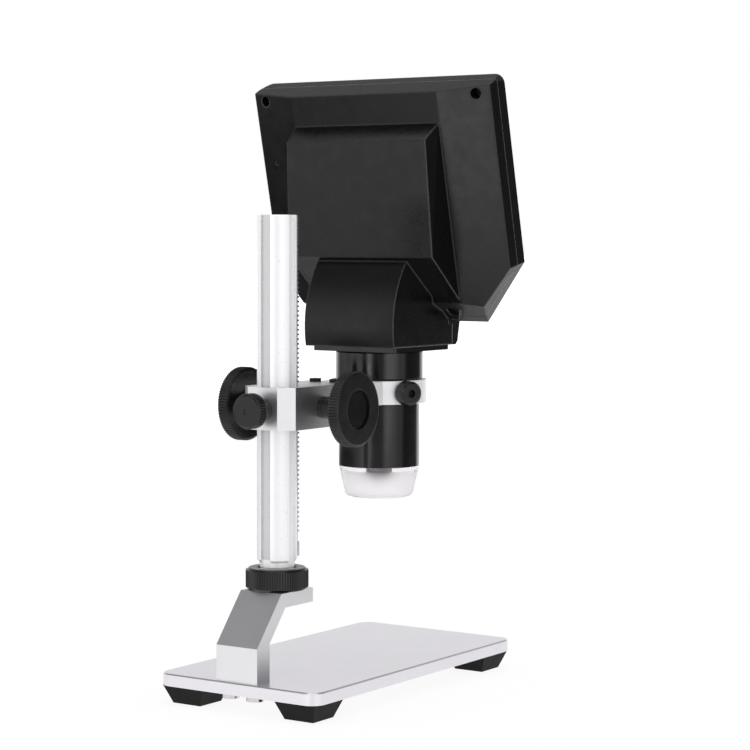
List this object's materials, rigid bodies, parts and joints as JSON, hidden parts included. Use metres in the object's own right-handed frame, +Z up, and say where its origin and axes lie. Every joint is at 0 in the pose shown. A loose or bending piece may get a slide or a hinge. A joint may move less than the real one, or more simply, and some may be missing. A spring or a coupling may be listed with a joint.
{
  "type": "lcd digital microscope",
  "caption": "Digital microscope with an LCD head and battery on a tube with a clear cap, held by a rack-and-pinion carriage on a grooved column over a flat metal base.",
  "frame": {"origin": "centre of the base at table level", "axes": "+Z up, +X to the right of the person at the screen, +Y away from that person, towards the column"},
  "size_m": [0.1202, 0.148, 0.2535],
  "materials": {
    "base_metal": "satin plate",
    "stand_metal": "fine blasted, clear anodised",
    "column_metal": "extruded, bright",
    "rack_metal": "milled",
    "plated_steel": "nickel plated",
    "black_screw": "black oxide",
    "foot_rubber": "matte",
    "knob_plastic": "fine texture",
    "nylon": "natural",
    "tube_plastic": "satin",
    "lens_barrel": "matte",
    "lens_glass": "coated",
    "clear_plastic": "clear, lightly frosted inside",
    "circuit_board": "solder mask",
    "led": "clear resin",
    "sensor_glass": "filter glass",
    "ribbon": "film",
    "housing": "satin, fine texture",
    "screen_glass": "gloss",
    "display": "screen, switched off",
    "battery_wrap": "shrink wrap",
    "holder_plastic": "moulded",
    "key_plastic": "satin"
  },
  "bodies": {
    "stand": {"base_plate": "base_metal", "rubber_feet": "foot_rubber", "foot_screws": "plated_steel", "bracket": "stand_metal", "bracket_screws": "plated_steel", "column": "column_metal", "rack": "rack_metal"},
    "ring_nut": {"ring_nut": "knob_plastic"},
    "carriage": {"carriage": "stand_metal", "shaft_bushes": "knob_plastic", "lock_pad": "nylon", "holder_arm": "stand_metal", "arm_screws": "black_screw"},
    "pinion": {"pinion_shaft": "plated_steel", "left_knob": "knob_plastic", "right_knob": "knob_plastic", "knob_screws": "black_screw", "knob_caps": "knob_plastic"},
    "lock_screw": {"lock_screw": "knob_plastic"},
    "ring_screw": {"ring_screw": "knob_plastic"},
    "microscope": {"barrel": "tube_plastic", "led_board": "circuit_board", "led_lamps": "led", "sensor_board": "circuit_board", "image_sensor": "sensor_glass", "sensor_cable": "ribbon", "neck_flange": "tube_plastic", "front_bezel": "housing", "rear_cover": "housing", "cover_glass": "screen_glass", "display_panel": "display", "main_board": "circuit_board", "key_board": "circuit_board", "battery_cell": "battery_wrap", "battery_holder": "holder_plastic", "battery_contacts": "plated_steel", "usb_port": "plated_steel", "card_slot": "plated_steel", "case_screws": "black_screw"},
    "focus_ring": {"focus_ring": "tube_plastic"},
    "lens": {"lens_carrier": "lens_barrel", "front_lens": "lens_glass", "rear_lens": "lens_glass"},
    "clear_cap": {"clear_cap": "clear_plastic"},
    "key_1": {"key_1": "key_plastic"},
    "key_2": {"key_2": "key_plastic"},
    "key_3": {"key_3": "key_plastic"},
    "key_4": {"key_4": "key_plastic"},
    "key_5": {"key_5": "key_plastic"}
  },
  "joints": [
    {"name": "carriage_height", "type": "slide", "parent": "stand", "child": "carriage", "axis": [0, 0, 1], "range_m": [-0.048, 0.06]},
    {"name": "pinion_spin", "type": "hinge", "parent": "carriage", "child": "pinion", "pos_m": [0, 0.03176, 0.1185], "axis": [1, 0, 0], "range_deg": [-1150, 920]},
    {"name": "ring_nut_turn", "type": "hinge", "parent": "stand", "child": "ring_nut", "pos_m": [0, 0.046, 0.0506], "axis": [0, 0, 1], "range_deg": [-720, 720]},
    {"name": "lock_screw_turn", "type": "hinge", "parent": "carriage", "child": "lock_screw", "pos_m": [0, 0.0617, 0.1185], "axis": [0, 1, 0], "range_deg": [0, 720]},
    {"name": "ring_screw_turn", "type": "hinge", "parent": "carriage", "child": "ring_screw", "pos_m": [-0.01994, -0.0179, 0.12187], "axis": [-0.9063, 0.4226, 0], "range_deg": [0, 720]},
    {"name": "tube_turn", "type": "hinge", "parent": "carriage", "child": "microscope", "pos_m": [0, -0.0272, 0.12187], "axis": [0, 0, 1], "range_deg": [-75, 75]},
    {"name": "focus_turn", "type": "hinge", "parent": "microscope", "child": "focus_ring", "pos_m": [0, -0.0272, 0.133], "axis": [0, 0, 1], "range_deg": [-150, 150]},
    {"name": "lens_slide", "type": "slide", "parent": "microscope", "child": "lens", "axis": [0, 0, 1], "range_m": [-0.0025, 0.0025]},
    {"name": "cap_pull", "type": "slide", "parent": "microscope", "child": "clear_cap", "axis": [0, 0, -1], "range_m": [0, 0.015]},
    {"name": "key_1_press", "type": "slide", "parent": "microscope", "child": "key_1", "axis": [0, 0.9736, -0.2284], "range_m": [0, 0.0006], "stiffness_N_per_m": 900},
    {"name": "key_2_press", "type": "slide", "parent": "microscope", "child": "key_2", "axis": [0, 0.9736, -0.2284], "range_m": [0, 0.0006], "stiffness_N_per_m": 900},
    {"name": "key_3_press", "type": "slide", "parent": "microscope", "child": "key_3", "axis": [0, 0.9736, -0.2284], "range_m": [0, 0.0006], "stiffness_N_per_m": 900},
    {"name": "key_4_press", "type": "slide", "parent": "microscope", "child": "key_4", "axis": [0, 0.9736, -0.2284], "range_m": [0, 0.0006], "stiffness_N_per_m": 900},
    {"name": "key_5_press", "type": "slide", "parent": "microscope", "child": "key_5", "axis": [0, 0.9736, -0.2284], "range_m": [0, 0.0006], "stiffness_N_per_m": 900}
  ],
  "couplings": [
    {"joint": "pinion_spin", "follows": "carriage_height", "rad_per_m": -333.33},
    {"joint": "lens_slide", "follows": "focus_turn", "m_per_rad": 0.00095}
  ]
}
